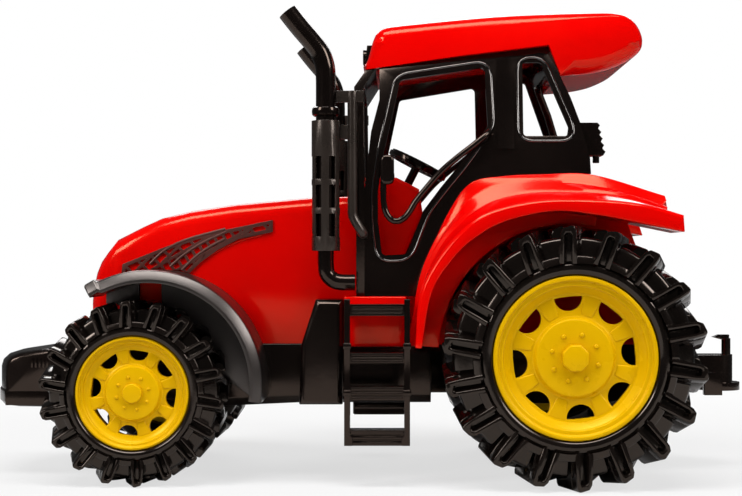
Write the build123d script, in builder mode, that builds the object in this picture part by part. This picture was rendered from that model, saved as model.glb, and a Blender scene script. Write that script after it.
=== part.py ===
from build123d import *
import os
from math import atan2, cos, degrees, radians, sin

# A moulded plastic toy tractor, in millimetres. X points forward, Y to the tractor's
# left and Z up. The origin is on the floor under the middle of the toy.

# Wheels. Each radius is measured to the tips of the lugs.
rear_tyre_r = 45.4
rear_tyre_width = 30.0
rear_tyre_outer_y = 68.0
rear_axle_x = -70.4
rear_rim_r = 28.2
rear_axle_r = 2.0
front_tyre_r = 32.5
front_tyre_width = 22.0
front_tyre_outer_y = 56.0
front_axle_x = 82.2
front_rim_r = 19.9
front_axle_r = 1.6
lug_count = 18
rim_fit = 0.08
axle_fit = 0.08
seat_gap = 0.05
hub_gap = 0.8
rear_axle_z = rear_tyre_r
front_axle_z = front_tyre_r
rear_tyre_inner_y = rear_tyre_outer_y - rear_tyre_width
front_tyre_inner_y = front_tyre_outer_y - front_tyre_width

# Chassis, front weight and tow hitch
chassis_top = 48.5
chassis_bottom = 27.0
chassis_front_x = 112.0
chassis_rear_x = -118.0
gearbox_half_w = 21.0
gearbox_front_x = -22.0
weight_front_x = 140.0
weight_half_w = 26.0
weight_bottom = 25.0
weight_top = 46.5
hitch_end_x = -140.0
hitch_half_w = 5.4
hitch_foot_r = 8.1
hitch_top = 42.8
hitch_foot = 29.5
hitch_pin_r = 1.7
hitch_pin_top = 50.3

# Hood, its side grilles and the front mudguards
hood_clearance = 4.0
hood_half_w = front_tyre_inner_y - hood_clearance
hood_nose_x = 107.4
hood_top = 102.0
hood_edge_r = 5.5
grille_rise = 0.8
grille_rib = 1.0
grille_pitch = 4.6
mudguard_outer_y = front_tyre_outer_y + 1.0
mudguard_gap = 2.9
mudguard_wall = 4.5
mudguard_plate = 2.0
mudguard_x = front_axle_x - 5.6
mudguard_z = front_axle_z + 3.0
mudguard_in_r = front_tyre_r + mudguard_gap
mudguard_out_r = mudguard_in_r + mudguard_wall

# Deck, rear fenders, ladders and side boxes
deck_top = 66.0
deck_front_x = 8.8
deck_half_w = 50.0
deck_rear_x = -108.0
fender_front_x = -13.0
fender_clear = 5.0
fender_step_y = 46.0
fender_outer_y = rear_tyre_outer_y - 8.0
fender_inner_y = rear_tyre_inner_y - fender_clear
fender_crest = rear_axle_z + 1.405 * rear_tyre_r
ladder_front_x = deck_front_x - 0.3
ladder_rear_x = fender_front_x - 1.2
ladder_top = deck_top - 0.7
ladder_foot = 14.8
ladder_outer_y = deck_half_w + 8.0
ladder_rail = 2.0
box_rear_x = deck_front_x + 0.5
box_front_x = 24.6
box_top = deck_top - 1.0
box_bottom = chassis_bottom + 1.2

# Cab and roof
cab_front_x = 4.7
cab_rear_x = -78.1
cab_half_w = 45.0
cab_top_half_w = 34.0
cab_belt = 120.0
cab_wall = 3.0
cab_eaves = 155.5
pillar_rise = 0.8
roof_half_w = cab_top_half_w + 3.0
roof_top = 168.0
roof_rear_x = cab_rear_x - 20.3
roof_edge_r = 6.0

# Exhaust stacks, hand rails and mirrors
stack_x = cab_front_x + 10.5
stack_y = cab_half_w + 3.6
stack_r = 3.5
stack_tip_z = 166.0
lower_pipe_r = 2.85
guard_r = 5.0
guard_bottom = 82.0
guard_top = 127.5
guard_fit = 0.12
grab_rail_r = 1.75
mirror_rail_r = 1.4

# Inside the cab
dash_half_w = 20.0
wheel_ring_r = 10.3
wheel_ring_section = 1.5
seat_half_w = 14.0


def side_plane(y):
    """Lengthwise upright plane at distance y to the left, drawn in (x, z), facing right."""
    return Plane.XZ.offset(-y)


def axle_plane(x, z, y):
    """Plane across an axle at distance y to the left, with its origin on the axle."""
    return Plane(origin=(x, y, z), x_dir=(1, 0, 0), z_dir=(0, -1, 0))


def on_cab(along, up):
    """Point on the cab's side, as fractions of its length from the back and of its height."""
    x = cab_rear_x + along * (cab_front_x - cab_rear_x)
    return x, deck_top + up * (cab_eaves - deck_top)


def on_hood(along, up):
    """Point on the hood's side, as fractions of its length from the cab and of its height."""
    x = cab_front_x + along * (hood_nose_x - cab_front_x)
    return x, chassis_top + up * (hood_top - chassis_top)


def on_roof(along, up):
    """Point on the roof's side: fractions of its length from the back, and of its rise."""
    x = roof_rear_x + along * (cab_front_x - 3.3 - roof_rear_x)
    return x, cab_eaves + up * (roof_top - cab_eaves)


def by_rear_tyre(along, up):
    """Point beside the rear tyre, in tyre radii from its axle."""
    return rear_axle_x + along * rear_tyre_r, rear_axle_z + up * rear_tyre_r


def outline(*points, mode=Mode.ADD):
    """Closed face through the points of an outline, put into the sketch being drawn."""
    with BuildLine() as line:
        Polyline(*points, close=True)
    make_face(line.line, mode=mode)


def rounded(points, corner_r):
    """Face through the points of an outline with every corner rounded."""
    with BuildSketch() as face:
        outline(*points)
        fillet(face.vertices(), corner_r)
    return face.sketch


def tube(corners, bend, radius, sides):
    """Solid rod along straight runs; each corner is eased over a bend's length in short steps."""
    points = [Vector(*corner) for corner in corners]
    eased = [points[0]]
    for before, corner, after in zip(points, points[1:], points[2:]):
        start = corner + (before - corner).normalized() * bend
        end = corner + (after - corner).normalized() * bend
        eased += [start, (start + end) * 0.25 + corner * 0.5, end]
    eased.append(points[-1])
    with BuildLine() as path:
        Polyline(*eased)
    with BuildSketch(Plane(origin=eased[0], z_dir=eased[1] - eased[0])) as section:
        RegularPolygon(radius, sides)
    sweep(section.sketch, path=path.line, transition=Transition.RIGHT)


def mirrored(left):
    """The same moulding for the right side of the tractor."""
    with BuildPart() as right:
        mirror(left.part, about=Plane.XZ)
    return right


def finish(piece, name):
    """Name one finished piece and write it."""
    piece.part.label = name
    export_step(piece.part, f"parts/{name}.step")


os.makedirs("parts", exist_ok=True)

# Chassis: a black tub with a narrow gearbox at the back and a housing round each axle
with BuildPart() as chassis:
    with BuildSketch(Plane.XZ):
        outline(
            (chassis_front_x, chassis_top),
            (chassis_front_x, chassis_bottom + 2),
            (front_axle_x + 14, chassis_bottom - 2),
            (front_axle_x - 14, chassis_bottom - 2),
            (box_front_x, chassis_bottom),
            (gearbox_front_x, chassis_bottom),
            (gearbox_front_x, chassis_top),
        )
    extrude(amount=hood_half_w, both=True)
    chamfer(chassis.faces().filter_by(Axis.Y).edges().group_by(Axis.Z)[0], 3)
    with BuildSketch(Plane.XZ):
        outline(
            (gearbox_front_x, chassis_top),
            (gearbox_front_x, chassis_bottom + 3),
            (rear_axle_x + 20, chassis_bottom + 3),
            (rear_axle_x + 12, chassis_bottom - 1),
            (rear_axle_x - 16, chassis_bottom - 1),
            (chassis_rear_x, chassis_bottom + 5),
            (chassis_rear_x, chassis_top),
        )
    extrude(amount=gearbox_half_w, both=True)
    for axle_x, axle_z, housing_r, tyre_inner_y in (
        (front_axle_x, front_axle_z, 8.0, front_tyre_inner_y),
        (rear_axle_x, rear_axle_z, 10.0, rear_tyre_inner_y),
    ):
        with BuildSketch(axle_plane(axle_x, axle_z, 0)):
            RegularPolygon(housing_r, 24)
        extrude(amount=tyre_inner_y - hub_gap, both=True)
    with BuildSketch(Plane.XY.offset(chassis_top)):
        Rectangle(chassis_front_x - chassis_rear_x + 10, 2 * rear_tyre_outer_y)
    extrude(amount=rear_axle_z, mode=Mode.SUBTRACT)
    for axle_x, axle_z, axle_r in (
        (front_axle_x, front_axle_z, front_axle_r),
        (rear_axle_x, rear_axle_z, rear_axle_r),
    ):
        with BuildSketch(axle_plane(axle_x, axle_z, 0)):
            Circle(axle_r + seat_gap)
        extrude(amount=rear_tyre_outer_y, both=True, mode=Mode.SUBTRACT)
finish(chassis, "chassis")

# Axles: plain steel rods that the wheels turn on
for axle_name, axle_x, axle_z, axle_r, tyre_outer_y in (
    ("axle_front", front_axle_x, front_axle_z, front_axle_r, front_tyre_outer_y),
    ("axle_rear", rear_axle_x, rear_axle_z, rear_axle_r, rear_tyre_outer_y),
):
    with BuildPart() as axle:
        with BuildSketch(axle_plane(axle_x, axle_z, 0)):
            Circle(axle_r)
        extrude(amount=tyre_outer_y - 3, both=True)
        chamfer(axle.faces().filter_by(Axis.Y).edges(), 0.4)
    finish(axle, axle_name)

# Front weight: a block bolted to the nose, with upright ribs on its sides and a lower lip
weight_height = weight_top - weight_bottom
with BuildPart() as front_weight:
    with BuildSketch(Plane.XZ):
        outline(
            (chassis_front_x, weight_top),
            (chassis_front_x + 6, weight_top),
            (weight_front_x - 9, weight_top - 0.21 * weight_height),
            (weight_front_x - 3.4, weight_top - 0.3 * weight_height),
            (weight_front_x - 1.2, weight_top - 0.42 * weight_height),
            (weight_front_x - 1.2, weight_bottom + 0.28 * weight_height),
            (weight_front_x, weight_bottom + 0.25 * weight_height),
            (weight_front_x, weight_bottom),
            (chassis_front_x, weight_bottom),
        )
    extrude(amount=weight_half_w, both=True)
    corners = front_weight.edges().filter_by(Axis.Z)
    fillet(corners.filter_by(lambda edge: edge.center().X > weight_front_x - 2), 1.1)
    with BuildSketch(Plane.XZ):
        with Locations((chassis_front_x + 8.8, weight_top - 0.24 * weight_height)):
            with GridLocations(1.3, 0, 6, 1):
                Rectangle(0.7, 0.22 * weight_height)
    extrude(amount=weight_half_w + 0.6, both=True)
finish(front_weight, "front_weight")

# Tow hitch: a drum on a round foot behind the gearbox, with an upright hook on its rear edge
drum_x = hitch_end_x + hitch_foot_r
pin_x = drum_x - hitch_half_w + 2.3
with BuildPart() as hitch:
    with BuildSketch(Plane.XY.offset(hitch_foot)):
        with Locations((drum_x, 0)):
            Circle(hitch_foot_r)
    extrude(amount=2.9)
    with BuildSketch(Plane.XY.offset(hitch_foot + 2)):
        with Locations((drum_x, 0)):
            Circle(hitch_half_w)
        with Locations(((drum_x + chassis_rear_x) / 2, 0)):
            Rectangle(chassis_rear_x - drum_x, 2 * hitch_half_w)
    extrude(amount=hitch_top - hitch_foot - 2)
    with BuildSketch(Plane.XY.offset(hitch_top)):
        with Locations((pin_x, 0)):
            Circle(hitch_pin_r)
    extrude(amount=hitch_pin_top - 1.4 - hitch_top)
    with BuildSketch(Plane.XZ):
        outline(
            (pin_x - 1, hitch_pin_top - 2.4),
            (pin_x - 1, hitch_pin_top),
            (pin_x + 3, hitch_pin_top),
            (pin_x + 5.5, hitch_pin_top - 0.9),
            (pin_x + 3, hitch_pin_top - 1.6),
        )
    extrude(amount=1.2, both=True)
    for side_y in (-1, 1):
        with BuildSketch(side_plane(side_y * (hitch_half_w + 8) + 2)):
            with Locations((hitch_end_x + 12.8, hitch_foot + 3.2)):
                Rectangle(6.5, 8.4)
        extrude(amount=4)
    with BuildSketch(Plane.XY.offset(hitch_foot + 4)):
        with Locations((chassis_rear_x - 4, 0)):
            Rectangle(8, 2 * (hitch_half_w + 10))
    extrude(amount=3.4)
finish(hitch, "hitch")

# Hood: one red moulding with a long falling top, rounded edges and a slatted nose with lamps
hood_stations = (
    (0.0, 1.0, 1.0),
    (0.156, 0.991, 1.0),
    (0.435, 0.942, 1.0),
    (0.584, 0.899, 1.0),
    (0.698, 0.849, 1.0),
    (0.78, 0.789, 1.0),
    (0.887, 0.703, 0.985),
    (0.93, 0.62, 0.95),
    (0.959, 0.559, 0.91),
    (0.981, 0.488, 0.85),
    (1.0, 0.357, 0.77),
)
with BuildPart() as hood:
    for along, up, wide in hood_stations:
        station_x, station_top = on_hood(along, up)
        edge_half = wide * hood_half_w - hood_edge_r
        edge_z = station_top - hood_edge_r
        turns = [radians(turn) for turn in (0, 22.5, 45, 67.5, 90)]
        bow = [(edge_half + hood_edge_r * cos(turn), edge_z + hood_edge_r * sin(turn)) for turn in turns]
        with BuildSketch(Plane.YZ.offset(station_x)):
            outline(
                (-wide * hood_half_w, chassis_top),
                (wide * hood_half_w, chassis_top),
                *bow,
                *((-y, z) for y, z in reversed(bow)),
            )
    loft(ruled=True)
    nose_plane = Plane.YZ.offset(hood_nose_x)
    with BuildSketch(nose_plane):
        with Locations((0, chassis_top + 9)):
            with GridLocations(0, 3.4, 1, 4):
                Rectangle(22, 1.5)
        with Locations((0, chassis_top + 9)):
            with GridLocations(34, 0, 2, 1):
                Rectangle(8, 9)
    extrude(amount=-1.2, mode=Mode.SUBTRACT)
    with BuildSketch(nose_plane.offset(-1.2)):
        with Locations((0, chassis_top + 9)):
            with GridLocations(34, 0, 2, 1):
                RegularPolygon(3.2, 12)
    extrude(amount=1)
finish(hood, "hood")

# Side grilles: a raised lattice in a frame, crossed by a curved track with rungs
grille_outline = [
    on_hood(0.826, 0.538),
    on_hood(0.685, 0.647),
    on_hood(0.568, 0.727),
    on_hood(0.459, 0.772),
    on_hood(0.297, 0.836),
    on_hood(0.297, 0.755),
    on_hood(0.417, 0.708),
    on_hood(0.491, 0.634),
    on_hood(0.55, 0.551),
    on_hood(0.593, 0.471),
    on_hood(0.64, 0.327),
    on_hood(0.68, 0.252),
    on_hood(0.79, 0.252),
    on_hood(0.835, 0.364),
]
track_front = Vector(*on_hood(0.66, 0.52))
track_back = Vector(*on_hood(0.465, 0.735))
track_angle = degrees(atan2(track_back.Y - track_front.Y, track_back.X - track_front.X))
track_length = (track_back - track_front).length
track_middle = (track_front + track_back) / 2
with BuildSketch() as track:
    with Locations(Location((track_middle.X, track_middle.Y, 0), (0, 0, track_angle))):
        Rectangle(track_length + 20, grille_pitch)
with BuildPart() as grille_left:
    with BuildSketch(side_plane(hood_half_w + grille_rise)):
        with Locations(on_hood(0.567, 0.533)):
            for slant in (-45, 45):
                with Locations(Location((0, 0, 0), (0, 0, slant))):
                    with GridLocations(0, grille_pitch, 1, 17):
                        Rectangle(90, grille_rib)
        add(track.sketch, mode=Mode.SUBTRACT)
        with Locations(Location((track_middle.X, track_middle.Y, 0), (0, 0, track_angle))):
            with GridLocations(0, grille_pitch, 1, 2):
                Rectangle(track_length + 20, grille_rib)
            with GridLocations(3.1, 0, 12, 1):
                Rectangle(grille_rib, grille_pitch)
        outline(*grille_outline, mode=Mode.INTERSECT)
    extrude(amount=grille_rise)
    with BuildSketch(side_plane(hood_half_w + grille_rise)):
        outline(*grille_outline)
        offset(amount=-1.3, kind=Kind.INTERSECTION, mode=Mode.SUBTRACT)
    extrude(amount=grille_rise)
    with BuildSketch(side_plane(hood_half_w + grille_rise)):
        with Locations((mudguard_x, mudguard_z)):
            Circle(mudguard_out_r + 0.2)
    extrude(amount=grille_rise, mode=Mode.SUBTRACT)
finish(grille_left, "grille_left")
finish(mirrored(grille_left), "grille_right")

# Front mudguards: a thick band with a lipped tip over each front wheel, on a plate on the hood
with BuildPart() as mudguard_left:
    with BuildSketch(side_plane(mudguard_outer_y)):
        with BuildLine():
            outer = CenterArc((mudguard_x, mudguard_z), mudguard_out_r, 57, 132)
            inner = CenterArc((mudguard_x, mudguard_z), mudguard_in_r, 57, 132)
            Line(outer @ 0, inner @ 0)
            Line(outer @ 1, inner @ 1)
        make_face()
        with BuildLine():
            outer = CenterArc((mudguard_x, mudguard_z), mudguard_out_r + 1.2, 57, 7)
            inner = CenterArc((mudguard_x, mudguard_z), mudguard_in_r + 1, 57, 7)
            Line(outer @ 0, inner @ 0)
            Line(outer @ 1, inner @ 1)
        make_face()
    extrude(amount=mudguard_outer_y - hood_half_w)
    with BuildSketch(side_plane(hood_half_w + mudguard_plate)):
        with BuildLine():
            wall_arc = CenterArc((mudguard_x, mudguard_z), mudguard_in_r + 1, 92, 97)
            Polyline(
                wall_arc @ 1,
                (front_axle_x - 16, (wall_arc @ 1).Y),
                (front_axle_x - 16, chassis_top),
                ((wall_arc @ 0).X, chassis_top),
                wall_arc @ 0,
            )
        make_face()
        with Locations((front_axle_x + 7, mudguard_z + 32)):
            Rectangle(12, 9)
    extrude(amount=mudguard_plate)
finish(mudguard_left, "mudguard_left")
finish(mirrored(mudguard_left), "mudguard_right")

# Deck: the red floor that carries the cab and the fenders
with BuildPart() as deck:
    with BuildSketch(Plane.XY.offset(chassis_top)):
        outline(
            (deck_front_x, deck_half_w),
            (fender_front_x, deck_half_w),
            (fender_front_x, fender_inner_y),
            (deck_rear_x, fender_inner_y),
            (deck_rear_x, -fender_inner_y),
            (fender_front_x, -fender_inner_y),
            (fender_front_x, -deck_half_w),
            (deck_front_x, -deck_half_w),
            (deck_front_x, -hood_half_w),
            (cab_front_x, -hood_half_w),
            (cab_front_x, hood_half_w),
            (deck_front_x, hood_half_w),
        )
    extrude(amount=deck_top - chassis_top)
finish(deck, "deck")

# Line where the cab's lower edge meets the top of the fender, from front to back
arch_line = [
    (by_rear_tyre(1.167, 0)[0], deck_top),
    by_rear_tyre(1.084, 0.782),
    by_rear_tyre(0.996, 1.002),
    by_rear_tyre(0.848, 1.256),
    by_rear_tyre(0.758, 1.344),
    by_rear_tyre(0.515, 1.392),
    by_rear_tyre(0.229, 1.405),
    (cab_rear_x, fender_crest),
]

# Rear fenders: a high inner step under the cab, then a slope and an upright face over the tyre
outer_top = [
    (ladder_rear_x - 1.5, chassis_top),
    (ladder_rear_x - 1.5, chassis_top + 9.5),
    by_rear_tyre(1.077, 0.663),
    by_rear_tyre(0.868, 0.945),
    by_rear_tyre(0.648, 1.101),
    by_rear_tyre(0.229, 1.196),
    by_rear_tyre(-0.167, 1.189),
    by_rear_tyre(-0.696, 1.126),
    by_rear_tyre(-0.844, 1.084),
    by_rear_tyre(-0.844, 0.94),
]
slope_top = [
    (ladder_rear_x - 1.5, chassis_top),
    (ladder_rear_x - 1.5, chassis_top + 12),
    by_rear_tyre(1.09, 0.74),
    by_rear_tyre(0.9, 1.05),
    by_rear_tyre(0.68, 1.2),
    by_rear_tyre(0.229, 1.29),
    by_rear_tyre(-0.17, 1.28),
    by_rear_tyre(-0.68, 1.19),
    by_rear_tyre(-0.8, 1.13),
    by_rear_tyre(-0.8, 0.94),
]
with BuildPart() as fender_left:
    for outline_y, tier_outline in ((fender_outer_y - 2, outer_top), (fender_step_y, slope_top)):
        with BuildSketch(side_plane(outline_y)):
            outline(*tier_outline)
    loft(ruled=True)
    with BuildSketch(side_plane(fender_outer_y)):
        outline(*outer_top)
    extrude(amount=2)
    with BuildSketch(side_plane(fender_step_y)):
        outline(*slope_top)
    extrude(amount=fender_step_y - fender_inner_y)
    with BuildSketch(side_plane(fender_step_y)):
        outline(
            by_rear_tyre(-0.476, 0.96),
            by_rear_tyre(-0.696, 1.059),
            by_rear_tyre(-0.744, 1.148),
            by_rear_tyre(-0.744, 1.194),
            by_rear_tyre(-0.696, 1.256),
            by_rear_tyre(-0.454, 1.326),
            *reversed(arch_line),
            (fender_front_x, deck_top),
            (fender_front_x, chassis_top),
        )
    extrude(amount=fender_step_y - fender_inner_y)
    with BuildSketch(side_plane(fender_outer_y)):
        with BuildLine():
            arch = ThreePointArc(
                (fender_front_x - 5.2, chassis_top), by_rear_tyre(0.67, 0.958), by_rear_tyre(-0.211, 1.075)
            )
            Polyline(
                arch @ 1,
                by_rear_tyre(-0.29, 1.063),
                by_rear_tyre(-0.29, 1.01),
                by_rear_tyre(-0.56, 0.968),
                by_rear_tyre(-0.575, 1.004),
                by_rear_tyre(-0.844, 0.96),
                by_rear_tyre(-0.9, 0.068),
                arch @ 0,
            )
        make_face()
    extrude(amount=fender_outer_y - fender_inner_y, mode=Mode.SUBTRACT)
    with BuildSketch(side_plane(fender_inner_y + 2.5)):
        outline(
            (fender_front_x, chassis_top),
            arch @ 0,
            by_rear_tyre(0.67, 1.0),
            by_rear_tyre(-0.211, 1.1),
            by_rear_tyre(-0.476, 1.05),
            by_rear_tyre(-0.696, 0.454),
            by_rear_tyre(-0.696, 0.068),
        )
    extrude(amount=2.5)
    with BuildSketch(Plane.XY.offset(chassis_top)):
        Rectangle(4 * rear_tyre_outer_y, 2 * rear_tyre_outer_y)
    extrude(amount=-rear_tyre_r, mode=Mode.SUBTRACT)
finish(fender_left, "fender_left")
finish(mirrored(fender_left), "fender_right")

# Cab: bent side walls, a front frame and a rear frame, all as thick as one wall
roof_line = [on_cab(0.96, 0.902), on_cab(0.545, 0.958), on_cab(0.17, 1.0)]
rear_line = [
    roof_line[2],
    on_cab(0.122, 0.879),
    on_cab(0.08, 0.788),
    on_cab(0.043, 0.687),
    on_cab(0.025, 0.612),
    on_cab(0.005, 0.556),
    (cab_rear_x, fender_crest),
]
front_pitch = (roof_line[0][1] - roof_line[1][1]) / (roof_line[0][0] - roof_line[1][0])
rear_pitch = (roof_line[1][1] - roof_line[2][1]) / (roof_line[1][0] - roof_line[2][0])
cab_peak = cab_eaves + 10
peak_half_w = cab_half_w - (cab_half_w - cab_top_half_w) / (cab_eaves - cab_belt) * (cab_peak - cab_belt)
cab_length = cab_front_x - cab_rear_x


def wall_section(inset, outset):
    """Cross-section of the left side wall, from inset inside the cab's skin to outset outside."""
    return (
        (cab_half_w - inset, deck_top),
        (cab_half_w + outset, deck_top),
        (cab_half_w + outset, cab_belt),
        (peak_half_w + outset, cab_peak),
        (peak_half_w - inset, cab_peak),
        (cab_half_w - inset, cab_belt),
    )


door_window = [
    on_cab(0.813, 0.86),
    on_cab(0.448, 0.914),
    on_cab(0.438, 0.674),
    on_cab(0.558, 0.52),
    on_cab(0.639, 0.43),
    on_cab(0.715, 0.336),
    on_cab(0.784, 0.166),
    on_cab(0.89, 0.161),
    on_cab(0.907, 0.3),
    on_cab(0.907, 0.413),
    on_cab(0.882, 0.565),
]
quarter_window = [
    on_cab(0.284, 0.934),
    on_cab(0.204, 0.934),
    on_cab(0.092, 0.668),
    on_cab(0.098, 0.632),
    on_cab(0.287, 0.632),
]
with BuildPart() as cab_side_left:
    with BuildSketch(Plane.XZ):
        outline(
            (cab_front_x - cab_wall, deck_top),
            (cab_front_x - cab_wall, on_cab(0, 0.421)[1]),
            (on_cab(0.973, 0)[0] - cab_wall, on_cab(0, 0.65)[1]),
            (on_cab(0.938, 0)[0] - cab_wall, on_cab(0, 0.779)[1]),
            (roof_line[0][0] - 4.9, roof_line[0][1] - 4.9 * front_pitch),
            *roof_line[1:],
            *rear_line[1:],
            *reversed(arch_line[:-1]),
        )
        add(rounded(door_window, 1.6), mode=Mode.SUBTRACT)
        add(rounded(quarter_window, 1.2), mode=Mode.SUBTRACT)
    extrude(amount=-cab_half_w)
    with BuildSketch(Plane.YZ.offset(cab_rear_x)):
        outline(*wall_section(cab_wall, 0))
    extrude(amount=cab_length, mode=Mode.INTERSECT)
    with BuildPart(mode=Mode.PRIVATE) as pillar_rib:
        with BuildSketch(Plane.YZ.offset(on_cab(0.328, 0)[0])):
            outline(*wall_section(1, pillar_rise))
        extrude(amount=0.068 * cab_length)
        with BuildSketch(Plane.XY.offset(on_cab(0, 0.945)[1])):
            Rectangle(4 * cab_length, 4 * cab_half_w)
        extrude(amount=cab_peak, mode=Mode.SUBTRACT)
        with BuildSketch(Plane.XY):
            Rectangle(4 * cab_length, 4 * cab_half_w)
        extrude(amount=on_cab(0, 0.581)[1], mode=Mode.SUBTRACT)
    add(pillar_rib.part)
finish(cab_side_left, "cab_side_left")
finish(mirrored(cab_side_left), "cab_side_right")

with BuildPart() as cab_front:
    with BuildSketch(Plane.XZ):
        outline(
            (cab_front_x, deck_top),
            (cab_front_x, on_cab(0, 0.421)[1]),
            on_cab(1.011, 0.832),
            roof_line[0],
            (roof_line[0][0] - 3.6, roof_line[0][1] - 3.6 * front_pitch),
            on_cab(0.97, 0.832),
            (cab_front_x - cab_wall, on_cab(0, 0.421)[1]),
            (cab_front_x - cab_wall, deck_top),
        )
    extrude(amount=cab_half_w, both=True)
    with BuildSketch(Plane.YZ.offset(cab_rear_x)):
        outline(
            (cab_half_w, deck_top),
            (cab_half_w, cab_belt),
            (peak_half_w, cab_peak),
            (-peak_half_w, cab_peak),
            (-cab_half_w, cab_belt),
            (-cab_half_w, deck_top),
        )
    extrude(amount=2 * cab_length, mode=Mode.INTERSECT)
    sill_z = on_cab(0, 0.447)[1]
    head_z = on_cab(0, 0.838)[1]
    with BuildSketch(Plane.YZ.offset(cab_rear_x)):
        for side in (-1, 1):
            pane = [
                (side * 0.644 * cab_half_w, sill_z),
                (side * (cab_half_w - cab_wall), sill_z),
                (side * 0.8 * cab_half_w, head_z),
                (side * 0.578 * cab_half_w, head_z),
            ]
            add(rounded(pane, 1.5))
        windscreen = [
            (0.556 * cab_half_w, sill_z),
            (0.511 * cab_half_w, head_z),
            (-0.511 * cab_half_w, head_z),
            (-0.556 * cab_half_w, sill_z),
        ]
        add(rounded(windscreen, 2.5))
    extrude(amount=2 * cab_length, mode=Mode.SUBTRACT)
finish(cab_front, "cab_front")

with BuildPart() as cab_rear:
    with BuildSketch(Plane.XZ):
        outline(
            *rear_line,
            (cab_rear_x, deck_top),
            (cab_rear_x + cab_wall, deck_top),
            *((x + cab_wall, z) for x, z in reversed(rear_line[1:])),
            (rear_line[0][0] + cab_wall, cab_eaves + cab_wall * rear_pitch),
        )
    extrude(amount=cab_half_w, both=True)
    with BuildSketch(Plane.YZ.offset(cab_rear_x)):
        outline(
            (fender_inner_y, deck_top),
            (fender_inner_y, fender_crest),
            (cab_half_w - cab_wall, fender_crest),
            (cab_half_w - cab_wall, cab_belt),
            (peak_half_w - cab_wall, cab_peak),
            (cab_wall - peak_half_w, cab_peak),
            (cab_wall - cab_half_w, cab_belt),
            (cab_wall - cab_half_w, fender_crest),
            (-fender_inner_y, fender_crest),
            (-fender_inner_y, deck_top),
        )
        rear_window = [
            (-0.756 * cab_half_w, on_cab(0, 0.536)[1]),
            (0.756 * cab_half_w, on_cab(0, 0.536)[1]),
            (0.756 * cab_half_w, on_cab(0, 0.648)[1]),
            (0.6 * cab_half_w, on_cab(0, 0.905)[1]),
            (-0.6 * cab_half_w, on_cab(0, 0.905)[1]),
            (-0.756 * cab_half_w, on_cab(0, 0.648)[1]),
        ]
        add(rounded(rear_window, 3), mode=Mode.SUBTRACT)
    extrude(amount=cab_length, mode=Mode.INTERSECT)
finish(cab_rear, "cab_rear")

# Roof: a thick red slab with rounded edges and a deep overhang at the back
roof_crest_front = Vector(*on_roof(0.876, 0.616))
roof_crest_rear = Vector(*on_roof(0.084, 1.0))
with BuildPart() as roof:
    with BuildSketch(Plane.XZ):
        outline(
            *roof_line,
            rear_line[1],
            on_roof(0.167, -0.728),
            on_roof(0.081, -0.536),
            on_roof(0.038, -0.344),
            on_roof(0.0, -0.016),
            on_roof(0.012, 0.44),
            on_roof(0.034, 0.752),
            on_roof(0.084, 1.0),
            on_roof(0.475, 0.904),
            on_roof(0.876, 0.616),
            on_roof(0.935, 0.56),
            on_roof(0.961, 0.408),
            on_roof(0.972, 0.12),
            on_roof(0.978, -0.456),
        )
    extrude(amount=roof_half_w, both=True)
    with BuildSketch(Plane.XY.offset(cab_belt)) as roof_plan:
        with Locations(((roof_rear_x + roof_line[0][0]) / 2, 0)):
            Rectangle(roof_line[0][0] - roof_rear_x, 2 * roof_half_w)
        roof_corners = roof_plan.vertices().sort_by(Axis.X)
        fillet(roof_corners[:2], 2.5 * roof_edge_r)
        fillet(roof_corners[2:], roof_edge_r)
    extrude(amount=cab_belt, mode=Mode.INTERSECT)
    crest_way = roof_crest_rear - roof_crest_front
    edge_plane = Plane(
        origin=(roof_crest_front.X, 0, roof_crest_front.Y),
        x_dir=(0, 1, 0),
        z_dir=(crest_way.X, 0, crest_way.Y),
    )
    with BuildSketch(edge_plane):
        with Locations((0, cab_belt / 2 - 0.2)):
            RectangleRounded(2 * roof_half_w, cab_belt, roof_edge_r)
    extrude(amount=2 * cab_length, both=True, mode=Mode.INTERSECT)
finish(roof, "roof")

# Roof light bar: four lamps in a black holder on the front of the roof
bar_foot = on_roof(0.978, -0.456)
bar_top = on_roof(0.972, 0.12)
with BuildPart() as roof_light_bar:
    with BuildSketch(Plane.XZ):
        outline(bar_foot, bar_top, (bar_top[0] + 2.6, bar_top[1]), (bar_foot[0] + 2.8, bar_foot[1]))
    extrude(amount=26, both=True)
    for lamp_y in (-19, -7, 7, 19):
        with BuildSketch(Plane.YZ.offset(bar_foot[0])):
            with Locations((lamp_y, (bar_foot[1] + bar_top[1]) / 2)):
                RegularPolygon(2.8, 16)
        extrude(amount=3.6)
finish(roof_light_bar, "roof_light_bar")

# Rear lamps: a bracket with a toothed lens on each rear corner of the cab
lamp_top = rear_line[3]
lamp_foot = rear_line[5]
tooth_pitch = (lamp_top[1] - lamp_foot[1]) / 5
lamp_back = []
for tooth in range(5):
    tooth_z = lamp_top[1] - tooth * tooth_pitch
    tooth_x = lamp_top[0] - 6.2 - 0.5 * tooth
    lamp_back += [(tooth_x, tooth_z), (tooth_x - 0.9, tooth_z - 0.4 * tooth_pitch)]
    lamp_back += [(tooth_x - 0.3, tooth_z - tooth_pitch + 0.4)]
with BuildPart() as rear_lamp_left:
    with BuildSketch(side_plane(42)):
        outline(lamp_foot, rear_line[4], lamp_top, *lamp_back, (tooth_x, lamp_foot[1]))
    extrude(amount=8)
    with BuildSketch(Plane.XY.offset(lamp_foot[1] - 2.4)):
        with Locations((lamp_foot[0] - 3, 38)):
            RegularPolygon(1.2, 12)
    extrude(amount=3)
finish(rear_lamp_left, "rear_lamp_left")
finish(mirrored(rear_lamp_left), "rear_lamp_right")

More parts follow.
